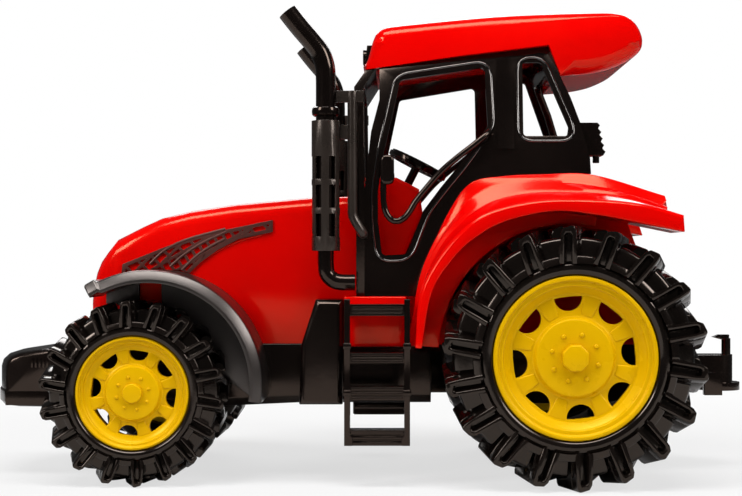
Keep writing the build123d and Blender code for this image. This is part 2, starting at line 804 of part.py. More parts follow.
# Exhaust stacks: a pipe bent forward at the top, a ring collar and a thinner lower pipe
elbow_z = guard_bottom - 11.0
stack_tip = Vector(stack_x + 13.4, stack_y, stack_tip_z)
stack_turn = Vector(stack_x + 7.9, stack_y, stack_tip_z - 7.8)
stack_bends = (stack_turn, (stack_x + 2, stack_y, stack_tip_z - 14), (stack_x, stack_y, stack_tip_z - 21))
with BuildPart() as exhaust_left:
    tube((stack_tip, *stack_bends, (stack_x, stack_y, guard_bottom + 1)), 2.5, stack_r, 16)
    with BuildSketch(Plane(origin=stack_tip, z_dir=stack_turn - stack_tip)):
        RegularPolygon(stack_r - 0.9, 16)
    extrude(amount=3, mode=Mode.SUBTRACT)
    with BuildSketch(Plane.XY.offset(guard_top + 1.5)):
        with Locations((stack_x, stack_y)):
            RegularPolygon(guard_r - 0.1, 16)
    extrude(amount=3.2)
    elbow = (stack_x, stack_y, elbow_z)
    elbow_end = (cab_front_x + 0.3, stack_y, elbow_z)
    tube(((stack_x, stack_y, guard_bottom + 1.5), elbow, elbow_end), 5, lower_pipe_r, 12)
finish(exhaust_left, "exhaust_left")
finish(mirrored(exhaust_left), "exhaust_right")

# Heat guards: a sleeve round each stack with three rows of slots
with BuildPart() as muffler_left:
    with BuildSketch(Plane.XY.offset(guard_bottom)):
        with Locations((stack_x, stack_y)):
            RegularPolygon(guard_r, 16)
            RegularPolygon(stack_r + guard_fit, 16, major_radius=False, mode=Mode.SUBTRACT)
    extrude(amount=guard_top - guard_bottom)
    for row in range(3):
        with BuildSketch(Plane.XY.offset(guard_bottom + 5 + 10 * row)):
            with Locations((stack_x, stack_y)):
                with PolarLocations(guard_r, 6):
                    Rectangle(4, 2.4)
        extrude(amount=8, mode=Mode.SUBTRACT)
finish(muffler_left, "muffler_left")
finish(mirrored(muffler_left), "muffler_right")

# Grab rails: an upright tube between each stack and the door, clipped to the stack
grab_x = cab_front_x + 1.2
with BuildPart() as grab_rail_left:
    rail_corners = (
        (grab_x, stack_y, guard_top + 10.5),
        (grab_x, stack_y, guard_bottom + 12),
        (grab_x - 3.7, stack_y, guard_bottom + 6),
        (grab_x - 3.7, cab_half_w + seat_gap, guard_bottom + 6),
    )
    tube(rail_corners, 1.6, grab_rail_r, 10)
    with BuildSketch(Plane.XY.offset(guard_top + 6.5)):
        with Locations(((grab_x - 3.9 + stack_x) / 2, stack_y)):
            Rectangle(stack_x - grab_x + 3.9, 2.4)
        with Locations((stack_x, stack_y)):
            Circle(stack_r + guard_fit, mode=Mode.SUBTRACT)
    extrude(amount=4)
    with BuildSketch(Plane.XY.offset(guard_top - 6.5)):
        with Locations(((grab_x + stack_x) / 2, stack_y)):
            Rectangle(stack_x - grab_x, 1.6)
        with Locations((stack_x, stack_y)):
            Circle(guard_r + guard_fit, mode=Mode.SUBTRACT)
    extrude(amount=5)
finish(grab_rail_left, "grab_rail_left")
finish(mirrored(grab_rail_left), "grab_rail_right")

# Mirror rails: a bent rod across each door with a mirror head at its front end
mirror_x = on_cab(0.86, 0)[0]
mirror_z = on_cab(0, 0.492)[1]
with BuildPart() as mirror_rail_left:
    rod_bends = [on_cab(0.871, 0.447), on_cab(0.871, 0.302), on_cab(0.804, 0.285), on_cab(0.687, 0.467)]
    rod_bends += [on_cab(0.535, 0.603), on_cab(0.4, 0.664)]
    rod_end = (rod_bends[-1][0], cab_half_w - 1, rod_bends[-1][1])
    tube((*((x, stack_y, z) for x, z in rod_bends), rod_end), 1.6, mirror_rail_r, 8)
    with BuildSketch(side_plane(stack_y + 1.6)):
        with Locations((mirror_x, mirror_z)):
            RectangleRounded(6, 10, 2.2)
    extrude(amount=3.2)
    with BuildSketch(side_plane(stack_y + 1.6)):
        with Locations((mirror_x, mirror_z)):
            RectangleRounded(4.2, 8.2, 1.4)
    extrude(amount=0.5, mode=Mode.SUBTRACT)
finish(mirror_rail_left, "mirror_rail_left")
finish(mirrored(mirror_rail_left), "mirror_rail_right")

# Dashboard: a red pedestal against the front frame, with a sloping top
dash_lip = Vector(*on_cab(0.728, 0.435))
dash_top = Vector(*on_cab(0.83, 0.483))
with BuildPart() as dashboard:
    with BuildSketch(Plane.XZ):
        outline(
            (cab_front_x - cab_wall, deck_top),
            on_cab(0.81, 0),
            on_cab(0.793, 0.156),
            on_cab(0.711, 0.335),
            (dash_lip.X, dash_lip.Y),
            (dash_top.X, dash_top.Y),
            (cab_front_x - cab_wall, dash_top.Y),
        )
    extrude(amount=dash_half_w, both=True)
    chamfer(dashboard.faces().filter_by(Axis.Y).edges().filter_by(lambda edge: edge.center().X < -8), 1)
finish(dashboard, "dashboard")

# Steering wheel: a ring with three spokes on a short column square to the dashboard
column_foot = (dash_lip + dash_top) / 2
dash_slope = (dash_top - dash_lip).normalized()
column_plane = Plane(
    origin=(column_foot.X - seat_gap * dash_slope.Y, 0, column_foot.Y + seat_gap * dash_slope.X),
    x_dir=(dash_slope.X, 0, dash_slope.Y),
    z_dir=(-dash_slope.Y, 0, dash_slope.X),
)
column_length = 0.9 * wheel_ring_r
with BuildPart() as steering_wheel:
    with BuildSketch(column_plane):
        RegularPolygon(1.6, 12)
    extrude(amount=column_length)
    with BuildSketch(column_plane.offset(column_length - 2.2)):
        RegularPolygon(3.2, 16)
    extrude(amount=2.6)
    with BuildSketch(column_plane.offset(column_length - 1.4)):
        with PolarLocations(wheel_ring_r / 2, 3, start_angle=60):
            Rectangle(wheel_ring_r, 1.8)
    extrude(amount=1.4)
    for half_height, reach in ((wheel_ring_section, 0.55), (0.55 * wheel_ring_section, 1.0)):
        with BuildSketch(column_plane.offset(column_length - 0.7 - half_height)):
            RegularPolygon(wheel_ring_r + reach * wheel_ring_section, 24)
            RegularPolygon(wheel_ring_r - reach * wheel_ring_section, 24, mode=Mode.SUBTRACT)
        extrude(amount=2 * half_height)
finish(steering_wheel, "steering_wheel")

# Seat: a moulded bucket with a high back on a pedestal
with BuildPart() as seat:
    with BuildSketch(Plane.XZ):
        outline(
            on_cab(0.484, 0.179),
            on_cab(0.484, 0.246),
            on_cab(0.267, 0.235),
            on_cab(0.219, 0.536),
            on_cab(0.158, 0.536),
            on_cab(0.17, 0.168),
            on_cab(0.243, 0.134),
            on_cab(0.255, 0),
            on_cab(0.412, 0),
            on_cab(0.412, 0.145),
        )
    extrude(amount=seat_half_w, both=True)
    chamfer(seat.faces().filter_by(Axis.Y).edges().filter_by(lambda edge: edge.center().Z > 80), 1.5)
finish(seat, "seat")

# Ladders: two rails with collars and flared feet, and four grooved steps below the deck
ladder_height = ladder_top - ladder_foot
ladder_middle_x = (ladder_front_x + ladder_rear_x) / 2
ladder_width = ladder_front_x - ladder_rear_x
with BuildPart() as ladder_left:
    with BuildSketch(side_plane(ladder_outer_y)):
        with Locations((ladder_middle_x, (ladder_top + ladder_foot) / 2)):
            with GridLocations(ladder_width - ladder_rail, 0, 2, 1):
                Rectangle(ladder_rail, ladder_height)
        with Locations((ladder_middle_x, ladder_foot + ladder_rail)):
            with GridLocations(ladder_width - ladder_rail - 0.8, 0, 2, 1):
                Rectangle(ladder_rail + 0.8, 2 * ladder_rail)
    extrude(amount=5)
    for collar_z in (0.68, 0.36):
        with BuildSketch(side_plane(ladder_outer_y + 0.4)):
            with Locations((ladder_middle_x, ladder_foot + collar_z * ladder_height)):
                with GridLocations(ladder_width - ladder_rail, 0, 2, 1):
                    Rectangle(ladder_rail + 0.8, 1.8)
        extrude(amount=5)
    for step_top, step_bottom in ((0.966, 0.887), (0.632, 0.564), (0.4, 0.311), (0.107, 0)):
        step_height = (step_top - step_bottom) * ladder_height
        step_z = ladder_foot + step_bottom * ladder_height + step_height / 2
        with BuildSketch(side_plane(ladder_outer_y - 0.4)):
            with Locations((ladder_middle_x, step_z)):
                Rectangle(ladder_width - 1, step_height)
        extrude(amount=ladder_outer_y - 0.4 - deck_half_w)
        with BuildSketch(side_plane(ladder_outer_y - 0.4)):
            with Locations((ladder_middle_x, step_z)):
                with GridLocations(0, 0.34 * step_height, 1, 2):
                    Rectangle(ladder_width - 2 * ladder_rail - 1.6, 0.14 * step_height)
        extrude(amount=0.6, mode=Mode.SUBTRACT)
finish(ladder_left, "ladder_left")
finish(mirrored(ladder_left), "ladder_right")

# Side boxes: bevelled boxes on the chassis in front of the ladders
with BuildPart() as side_box_left:
    with BuildSketch(side_plane(deck_half_w)):
        outline(
            (box_rear_x, box_top),
            (box_front_x - 5.8, box_top),
            (box_front_x - 0.8, box_bottom + 0.57 * (box_top - box_bottom)),
            (box_front_x, box_bottom),
            (box_rear_x, box_bottom),
        )
    extrude(amount=deck_half_w - hood_half_w)
    chamfer(side_box_left.faces().sort_by(Axis.Y)[-1].edges(), 1.5)
finish(side_box_left, "side_box_left")
finish(mirrored(side_box_left), "side_box_right")


def wheel(end, axle_x, tyre_r, tyre_width, tyre_outer_y, rim_r, axle_r, slot_turn):
    """Both wheels of one axle: a lugged tyre and a slotted rim, each side."""
    axle_z = tyre_r
    facets = 2 * lug_count
    dish_facets = 24
    crown_r = 0.922 * tyre_r
    shoulder = 0.1 * tyre_r
    inner_y = tyre_outer_y - tyre_width
    face = axle_plane(axle_x, axle_z, tyre_outer_y)
    lug_base = 0.139 * tyre_r
    lug_tip = 0.098 * tyre_r
    lug_root_r = 0.79 * tyre_r
    slant = radians(20)
    rim_set = 1.6
    rim_wall = 3.2
    with BuildPart() as tyre:
        for depth, radius in (
            (0, 0.81 * tyre_r),
            (shoulder, crown_r),
            (tyre_width - shoulder, crown_r),
            (tyre_width, 0.81 * tyre_r),
        ):
            with BuildSketch(face.offset(depth)):
                RegularPolygon(radius, lug_count)
        loft(ruled=True)
        with BuildSketch(face):
            RegularPolygon(rim_r + 0.09 * tyre_r, facets)
        extrude(amount=0.8, mode=Mode.SUBTRACT)
        run = tyre_width / 2 + 0.5
        shift = run * sin(slant) / cos(slant) / 2
        for face_y, direction, phase in ((tyre_outer_y, 1, 0), (inner_y, -1, 180 / lug_count)):
            for lug in range(lug_count):
                turn = radians(phase + lug * 360 / lug_count)
                lug_plane = Plane(
                    origin=(axle_x, face_y, axle_z),
                    x_dir=(cos(turn), 0, sin(turn)),
                    z_dir=(0, -1, 0),
                )
                with BuildSketch(lug_plane):
                    outline(
                        (-lug_base / 2 - shift, -lug_root_r),
                        (lug_base / 2 - shift, -lug_root_r),
                        (lug_tip / 2 - shift, -tyre_r),
                        (-lug_tip / 2 - shift, -tyre_r),
                    )
                lean = lug_plane.x_dir * sin(slant) / cos(slant) + lug_plane.z_dir * direction
                extrude(amount=run / cos(slant), dir=lean)
        with BuildSketch(face):
            for lug in range(lug_count):
                with Locations(Location((0, 0, 0), (0, 0, lug * 360 / lug_count))):
                    with Locations((-shift, -0.88 * tyre_r)):
                        Rectangle(0.05 * tyre_r, 0.12 * tyre_r)
        extrude(amount=1.4, mode=Mode.SUBTRACT)
        with BuildSketch(face):
            RegularPolygon(rim_r, facets, major_radius=False)
        extrude(amount=tyre_width, mode=Mode.SUBTRACT)
    web = 0.19 * tyre_width
    bow = [radians(turn) for turn in range(90, 271, 30)]
    with BuildSketch() as slot_face:
        outline(*((0.168 * rim_r * cos(turn), 0.168 * rim_r * sin(turn)) for turn in bow))
    with BuildPart() as rim:
        with BuildSketch(face.offset(rim_set)):
            RegularPolygon(rim_r - rim_fit, facets, major_radius=False)
        extrude(amount=tyre_width - 3 - rim_set)
        for depth, radius in ((rim_set + 1.2, 0.94 * rim_r), (web, 0.85 * rim_r)):
            with BuildSketch(face):
                RegularPolygon(radius, dish_facets)
            extrude(amount=depth, mode=Mode.SUBTRACT)
        with BuildSketch(face.offset(web + 3)):
            RegularPolygon(rim_r - rim_wall, dish_facets)
        extrude(amount=tyre_width, mode=Mode.SUBTRACT)
        with BuildSketch(face.offset(tyre_width)):
            RegularPolygon(axle_r + rim_wall, 12)
        extrude(amount=-(tyre_width - web - 1))
        with BuildSketch(face.offset(web - 1)):
            with PolarLocations(0.73 * rim_r, 8, start_angle=slot_turn):
                add(slot_face.sketch)
        extrude(amount=5, mode=Mode.SUBTRACT)
        with BuildSketch(face.offset(web - 1.5)):
            RegularPolygon(0.48 * rim_r, dish_facets)
        extrude(amount=2)
        with BuildSketch(face.offset(web - 2)):
            with PolarLocations(0.29 * rim_r, 8, start_angle=slot_turn + 22.5):
                RegularPolygon(0.035 * rim_r, 6)
        extrude(amount=1)
        with BuildSketch(face.offset(0.6)):
            RegularPolygon(0.174 * rim_r, 8)
        extrude(amount=web)
        with BuildSketch(face.offset(2.6)):
            Circle(axle_r + axle_fit)
        extrude(amount=tyre_width, mode=Mode.SUBTRACT)
    finish(tyre, f"tyre_{end}_left")
    finish(mirrored(tyre), f"tyre_{end}_right")
    finish(rim, f"rim_{end}_left")
    finish(mirrored(rim), f"rim_{end}_right")


wheel("rear", rear_axle_x, rear_tyre_r, rear_tyre_width, rear_tyre_outer_y, rear_rim_r, rear_axle_r, -6)
wheel(
    "front", front_axle_x, front_tyre_r, front_tyre_width, front_tyre_outer_y, front_rim_r, front_axle_r, 7.5
)
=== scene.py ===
# A moulded plastic toy tractor on a pale floor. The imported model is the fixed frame.
import math

import bmesh
import bpy
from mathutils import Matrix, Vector


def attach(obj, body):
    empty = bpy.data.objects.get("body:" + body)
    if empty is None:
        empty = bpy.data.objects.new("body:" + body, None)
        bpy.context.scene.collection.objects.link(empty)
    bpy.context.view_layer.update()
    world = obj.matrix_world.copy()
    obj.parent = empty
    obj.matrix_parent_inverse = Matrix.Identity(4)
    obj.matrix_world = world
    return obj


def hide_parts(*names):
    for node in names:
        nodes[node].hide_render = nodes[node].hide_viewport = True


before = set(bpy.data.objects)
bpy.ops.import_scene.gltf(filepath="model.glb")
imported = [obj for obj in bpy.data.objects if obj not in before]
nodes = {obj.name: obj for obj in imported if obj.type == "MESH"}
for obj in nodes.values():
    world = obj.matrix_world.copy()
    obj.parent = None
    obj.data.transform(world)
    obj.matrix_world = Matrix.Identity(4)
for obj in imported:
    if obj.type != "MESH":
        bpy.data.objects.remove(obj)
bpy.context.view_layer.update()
scene = bpy.context.scene
scene.view_settings.view_transform = "Standard"

# Chassis, side boxes and hitch: black ABS with a shiny skin that picks up a little dust. The
# lower body is one tub, and the boxes and the hitch are clipped to it.
MM = 0.001


def screen(red, green, blue):
    """Linear colour of an 8-bit screen colour."""
    linear = [((c / 255 + 0.055) / 1.055) ** 2.4 if c > 10 else c / 3294.6 for c in (red, green, blue)]
    return (*linear, 1.0)


class Wire:
    """A socket in a material. Arithmetic on it adds the Math nodes."""

    def __init__(self, tree, socket):
        self.tree = tree
        self.socket = socket

    def node(self, kind, settings=None, **sockets):
        """A new node; its sockets are named with _ for a space, or _ and their number."""
        made = self.tree.nodes.new("ShaderNode" + kind)
        for name, value in (settings or {}).items():
            setattr(made, name, value)
        for name, value in sockets.items():
            place = int(name[1:]) if name[0] == "_" else name.replace("_", " ")
            self.feed(made.inputs[place], value)
        return made

    def feed(self, place, value):
        if isinstance(value, Wire):
            self.tree.links.new(value.socket, place)
        else:
            place.default_value = value

    def out(self, made, name=0):
        return Wire(self.tree, made.outputs[name])

    def maths(self, operation, first, second):
        return self.out(self.node("Math", {"operation": operation}, _0=first, _1=second))

    def __add__(self, other):
        return self.maths("ADD", self, other)

    __radd__ = __add__

    def __sub__(self, other):
        return self.maths("SUBTRACT", self, other)

    def __rsub__(self, other):
        return self.maths("SUBTRACT", other, self)

    def __mul__(self, other):
        return self.maths("MULTIPLY", self, other)

    __rmul__ = __mul__

    def ramp(self, low, high):
        return self.out(self.node("MapRange", {"clamp": True}, Value=self, From_Min=low, From_Max=high))


def surface(name, colour, glint, gloss, dull, grain, worn, **constants):
    """A skin whose roughness wanders from gloss to dull. It is faintly uneven, and worn in spots."""
    material = bpy.data.materials.new(name)
    material.use_nodes = True
    tree = material.node_tree
    shader = tree.nodes["Principled BSDF"]
    shader.inputs["Specular Tint"].default_value = glint
    for socket, value in constants.items():
        shader.inputs[socket.replace("_", " ")].default_value = value
    place = Wire(tree, tree.nodes.new("ShaderNodeTexCoord").outputs["Object"])
    broad = place.out(place.node("TexNoise", Vector=place, Scale=38.0, Detail=3.0, Roughness=0.55))
    fine = place.out(place.node("TexNoise", Vector=place, Scale=420.0, Detail=2.0, Roughness=0.6))
    specks = place.out(place.node("TexNoise", Vector=place, Scale=160.0, Detail=4.0, Roughness=0.7))
    wear = broad.ramp(0.38, 0.72)
    place.feed(shader.inputs["Roughness"], gloss + (dull - gloss) * wear + 0.03 * fine)
    bump = place.node("Bump", Height=0.3 * broad + 0.7 * fine, Strength=grain, Distance=0.0002)
    place.feed(shader.inputs["Normal"], place.out(bump))
    rubbed = 0.3 * wear + 0.25 * (specks.ramp(0.6, 0.75) * wear)
    tinted = place.node("Mix", {"data_type": "RGBA"}, Factor=rubbed, _6=colour, _7=worn)
    place.feed(shader.inputs["Base Color"], place.out(tinted, 2))
    return material


def smooth_below(degrees):
    """Modifier nodes that shade a moulding smooth, except over edges sharper than an angle."""
    group = bpy.data.node_groups.new("smooth below an angle", "GeometryNodeTree")
    for way in ("INPUT", "OUTPUT"):
        group.interface.new_socket("Geometry", in_out=way, socket_type="NodeSocketGeometry")
    entry = group.nodes.new("NodeGroupInput")
    bare = group.nodes.new("GeometryNodeRemoveAttribute")
    bare.inputs["Name"].default_value = "custom_normal"
    angle = group.nodes.new("GeometryNodeInputMeshEdgeAngle")
    blunt = group.nodes.new("FunctionNodeCompare")
    blunt.operation = "LESS_EQUAL"
    blunt.inputs[1].default_value = math.radians(degrees)
    faces = group.nodes.new("GeometryNodeSetShadeSmooth")
    edges = group.nodes.new("GeometryNodeSetShadeSmooth")
    edges.domain = "EDGE"
    leave = group.nodes.new("NodeGroupOutput")
    for source, goal in (
        (entry.outputs[0], bare.inputs[0]),
        (bare.outputs[0], faces.inputs[0]),
        (faces.outputs[0], edges.inputs[0]),
        (angle.outputs[0], blunt.inputs[0]),
        (blunt.outputs[0], edges.inputs["Shade Smooth"]),
        (edges.outputs[0], leave.inputs[0]),
    ):
        group.links.new(source, goal)
    return group


round_shading = smooth_below(38)


def mould_edges(piece, edge):
    """Every sharp edge gets the small radius that a mould leaves."""
    bevel = piece.modifiers.new("edge", "BEVEL")
    bevel.width = edge * MM
    bevel.segments = 3
    bevel.limit_method = "ANGLE"
    bevel.angle_limit = math.radians(28)
    piece.modifiers.new("shading", "NODES").node_group = round_shading


def welded(piece):
    """The faces of a CAD mesh are joined where they meet."""
    piece.modifiers.new("weld", "WELD").merge_threshold = 0.01 * MM


def dressed(names, material, edge):
    """CAD mouldings keep their shape and get their plastic and their edges."""
    for name in names:
        moulding = nodes[name]
        moulding.data.materials.clear()
        moulding.data.materials.append(material)
        welded(moulding)
        mould_edges(moulding, edge)


def both_sides(*names):
    return [name + side for name in names for side in ("_left", "_right")]


black = surface("black ABS", screen(5, 3, 3), (1, 0.74, 0.6, 1), 0.11, 0.2, 0.08, screen(15, 10, 8))
dressed(["chassis", "hitch", *both_sides("side_box")], black, 0.45)

# Axles: bright drawn steel rod, cut to length and pushed through the housings of the chassis.
# Only their ends could show, so they are plain.
steel = surface("steel rod", screen(176, 174, 170), (1, 1, 1, 1), 0.28, 0.4, 0.1, screen(150, 147, 142),
                Metallic=1.0)
dressed(["axle_front", "axle_rear"], steel, 0.1)

# Ladders: the same black ABS, each an open frame with its steps, moulded in one piece and
# clipped under the deck.
dressed(both_sides("ladder"), black, 0.3)

# Hood, deck and dashboard: glossy red ABS, each moulded in one piece and clipped to the
# chassis. The pigment is opaque and warm, and the skin is hard with a faint mould grain.
red = surface("red ABS", screen(212, 0, 0), (1.0, 0.46, 0.24, 1), 0.1, 0.18, 0.07, screen(220, 8, 2))
dressed(["deck", "dashboard"], red, 0.6)


def added(name, mesh, body, material, edge=0.0):
    """A new piece of the model on its body, with its finish."""
    mesh.materials.append(material)
    piece = bpy.data.objects.new(name, mesh)
    scene.collection.objects.link(piece)
    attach(piece, body)
    if edge:
        mould_edges(piece, edge)
    else:
        piece.modifiers.new("shading", "NODES").node_group = round_shading
    return piece


# The hood has the solid's form with a shorter nose, to match its outline in the photograph.
nose_start, nose_share = 74.0, 0.17
hood_mesh = nodes["hood"].data.copy()
hood_mesh.materials.clear()
for vertex in hood_mesh.vertices:
    vertex.co.x -= nose_share * max(0.0, vertex.co.x - nose_start * MM)
hood = added("hood_shell", hood_mesh, "tractor", red, 0.6)
welded(hood)
hood.modifiers.move(len(hood.modifiers) - 1, 0)
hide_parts("hood")

# Side grilles: a lattice moulded in relief on the hood's sides and printed a dark brown-grey.
# Three curved tracks run through it, and a thin red border runs along its lower edge.
grille_print = surface("dark grille print", screen(70, 34, 30), (1, 0.8, 0.7, 1), 0.3, 0.42, 0.12,
                       screen(96, 50, 44))
dressed(both_sides("grille"), grille_print, 0.12)
HANDS = (("left", 1), ("right", -1))
hood_side = 30.0
track_r, track_rise, border_r = 0.6, 0.35, 0.42
grille_tracks = [
    [(79.6, 77.3), (75.2, 81.6), (70.2, 84.5), (63.7, 86.9), (52.4, 89.9)],
    [(72.3, 76.4), (66.9, 81.0), (59.7, 85.5), (52.1, 88.9)],
    [(68.0, 75.2), (63.3, 79.8), (57.9, 83.6), (52.5, 86.4)],
]
grille_border = [(65.1, 74.4), (60.4, 78.6), (53.5, 82.9), (46.3, 86.0), (39.4, 87.8)]


def eased(points, steps):
    """A smooth line through points, with a number of steps from each to the next."""
    points = [Vector(point) for point in points]
    ends = [2 * points[0] - points[1], *points, 2 * points[-1] - points[-2]]
    line = []
    for before, start, end, after in zip(ends, ends[1:], ends[2:], ends[3:]):
        for step in range(steps):
            t = step / steps
            line.append(0.5 * (
                2 * start + (end - before) * t + (2 * before - 5 * start + 4 * end - after) * t ** 2
                + (3 * start - before - 3 * end + after) * t ** 3))
    return line + [points[-1]]


def rod(name, line, radius, closed, body, material):
    """A round rod of one run of points in millimetres."""
    curve = bpy.data.curves.new(name, "CURVE")
    curve.dimensions = "3D"
    curve.bevel_depth = radius * MM
    curve.bevel_resolution = 3
    curve.use_fill_caps = True
    run = curve.splines.new("POLY")
    run.points.add(len(line) - 1)
    for point, (x, y, z) in zip(run.points, line):
        point.co = (x * MM, y * MM, z * MM, 1)
    run.use_cyclic_u = closed
    curve.materials.append(material)
    piece = bpy.data.objects.new(name, curve)
    scene.collection.objects.link(piece)
    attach(piece, body)


for side, flip in HANDS:
    for number, track in enumerate(grille_tracks):
        line = [(x, flip * (hood_side + track_rise), z) for x, z in eased(track, 5)]
        rod(f"grille_track_{number}_{side}", line, track_r, False, "tractor", grille_print)
    line = [(x, flip * hood_side, z) for x, z in eased(grille_border, 5)]
    rod(f"grille_border_{side}", line, border_r, False, "tractor", red)

# Rear fenders: red ABS shells in three tiers over the rear tyres, clipped to the deck. A narrow
# tier runs along the cab, then a sloping one and an upright outer face, with a step at each.
rear_x, rear_z = -70.4, 45.4
rear_axle = Vector((rear_x, rear_z))
fender_foot = 48.5
arch_edge = [(-18.2, 48.5), (-21.6, 67.4), (-29.0, 79.4), (-37.6, 87.2), (-48.0, 92.4), (-64.0, 95.6),
             (-79.9, 94.0), (-95.6, 91.0), (-108.5, 88.4)]
outer_crease = [(-15.9, 48.5), (-17.3, 66.0), (-22.6, 77.6), (-31.0, 88.1), (-41.0, 95.2), (-58.0, 99.3),
                (-78.0, 99.6), (-95.0, 97.9), (-108.5, 94.2)]
slope_crease = [(-15.8, 48.5), (-16.6, 67.0), (-21.0, 79.4), (-28.6, 90.4), (-40.0, 99.4), (-54.0, 103.2),
                (-71.0, 103.8), (-87.5, 102.4), (-104.4, 97.2)]
upper_crease = [(-15.0, 48.5), (-16.4, 67.4), (-20.4, 80.6), (-27.6, 92.8), (-37.4, 102.8), (-50.0, 106.8),
                (-66.0, 107.4), (-84.0, 105.2), (-104.0, 99.6)]
cab_seat = [(-13.2, 48.5), (-16.6, 66.0), (-21.0, 80.6), (-28.4, 96.6), (-35.8, 106.0), (-46.6, 108.3),
            (-61.0, 109.0), (-79.0, 108.8), (-104.2, 101.4)]
inner_y, wall_y_out = 33.2, 35.4
fender_rails = [
    (arch_edge, 60.0, 0.0), (outer_crease, 60.0, -1.0), (outer_crease, 59.2, 0.0),
    (slope_crease, 51.3, -1.5), (slope_crease, 50.4, 0.0), (upper_crease, 47.6, -1.5),
    (upper_crease, 46.8, 0.0), (cab_seat, 45.4, 0.0), (cab_seat, inner_y, 0.0), (arch_edge, inner_y, 0.0),
]
wall_outline = [(-13.2, fender_foot), (-18.2, fender_foot), *arch_edge[1:7], (-92.0, 93.1), (-102.0, 66.0),
                (-102.0, fender_foot)]
lip_r, lip_y_in, lip_y_out = 46.1, 45.9, 47.0


def skin(loops):
    """A closed form through matching closed loops of points, with a flat end at each end."""
    count = len(loops[0])
    vertices = [point for loop in loops for point in loop]
    faces = [tuple(range(count))[::-1], tuple(range(count * (len(loops) - 1), count * len(loops)))]
    for level in range(len(loops) - 1):
        low = level * count
        for point in range(count):
            after = (point + 1) % count
            faces.append((low + point, low + after, low + count + after, low + count + point))
    return vertices, faces


def slab(outline, near, far):
    """A flat plate with an outline of (x, z), from one distance to the left to another."""
    return skin([[(x, y, z) for x, z in outline] for y in (near, far)])


def mesh_of(name, shape, flip=1):
    """A mesh from vertices in millimetres, with its faces outwards. Flip -1 mirrors it to the right."""
    mesh = bpy.data.meshes.new(name)
    mesh.from_pydata([(x * MM, flip * y * MM, z * MM) for x, y, z in shape[0]], [], shape[1])
    work = bmesh.new()
    work.from_mesh(mesh)
    bmesh.ops.recalc_face_normals(work, faces=work.faces)
    work.to_mesh(mesh)
    work.free()
    return mesh


rails = []
for rail, y, lift in fender_rails:
    moved = [Vector(point) + lift * (Vector(point) - rear_axle).normalized() for point in rail]
    rails.append(eased([(point.x, y, max(fender_foot, point.y)) for point in moved], 9))
lip_edge = eased(arch_edge[:7], 3)
lip_root = [rear_axle + (point - rear_axle).normalized() * lip_r for point in lip_edge]
for side, flip in HANDS:
    fender = mesh_of(f"fender_shell_{side}", skin([list(ring) for ring in zip(*rails)]), flip)
    shell = added(f"fender_shell_{side}", fender, "tractor", red, 0.35)
    wall = mesh_of(f"fender_wall_{side}", slab(wall_outline, inner_y, wall_y_out), flip)
    added(f"fender_wall_{side}", wall, "tractor", red, 0.3)
    lip = mesh_of(f"fender_lip_{side}", slab(lip_edge + lip_root[::-1], lip_y_in, lip_y_out), flip)
    added(f"fender_lip_{side}", lip, "tractor", red, 0.2)
    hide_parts(f"fender_{side}")

# Front mudguards: satin black ABS bands over the front wheels, each on a plate that is clipped
# to the hood. The outer part slopes, and it shows the long pale reflection of the soft boxes.
guard_x, guard_z, guard_in, guard_out = 76.6, 35.5, 35.4, 39.9
guard_section = [(0.0, 57.0), (0.25, 57.0), (0.93, 55.2), (1.0, 53.6), (1.0, 30.0), (0.0, 30.0)]
guard_lip = [(57, 0.6), (57.6, 1.0), (62.6, 1.0), (64, 0.0)]
guard_band = [(turn, 0.0) for turn in (*range(67, 190, 3), 189)]
guard_flare = 1.2
plate_side = 32.0
block_outline = [(83.2, 63.0), (95.2, 63.0), (95.2, 72.0), (83.2, 72.0)]
satin = surface("satin black ABS", screen(22, 19, 18), (1, 0.88, 0.82, 1), 0.27, 0.36, 0.08,
                screen(34, 29, 27), Specular_IOR_Level=0.85)


def around_guard(radius, degrees, y):
    """Point on a mudguard's arc."""
    turn = math.radians(degrees)
    return guard_x + radius * math.cos(turn), y, guard_z + radius * math.sin(turn)


def joined(parts):
    """One shape from several."""
    vertices, faces = [], []
    for some_vertices, some_faces in parts:
        shift = len(vertices)
        vertices += some_vertices
        faces += [tuple(index + shift for index in face) for face in some_faces]
    return vertices, faces


guard_rings = []
for degrees, swell in guard_lip + guard_band:
    low, high = guard_in + swell, guard_out + guard_flare * swell
    guard_rings.append([around_guard(low + (high - low) * share, degrees, y) for share, y in guard_section])
plate = [around_guard(guard_in + 1, degrees, 0) for degrees in range(92, 190, 6)]
plate_outline = [(x, z) for x, _, z in plate] + [(43.0, 29.5), (75.0, 52.0)]
guard_parts = [skin(guard_rings)]
for outline in (plate_outline, block_outline):
    guard_parts.append(slab(outline, hood_side, plate_side))
for side, flip in HANDS:
    name = f"mudguard_shell_{side}"
    shell = added(name, mesh_of(name, joined(guard_parts), flip), "tractor", satin, 0.4)
    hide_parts(f"mudguard_{side}")

# Cab: four black ABS frames clipped together and to the deck, with no glass. A rounded bead,
# polished by the mould, runs round each side opening.
dressed(["cab_front", "cab_rear", *both_sides("cab_side")], black, 0.7)
cab_back, cab_length, cab_floor, cab_height = -78.1, 82.8, 66.0, 89.5
cab_half, cab_bend_z, cab_taper = 45.0, 120.0, 11.0 / 35.5
bead_r, bead_sunk, corner_reach = 0.5, 0.05, 3.4
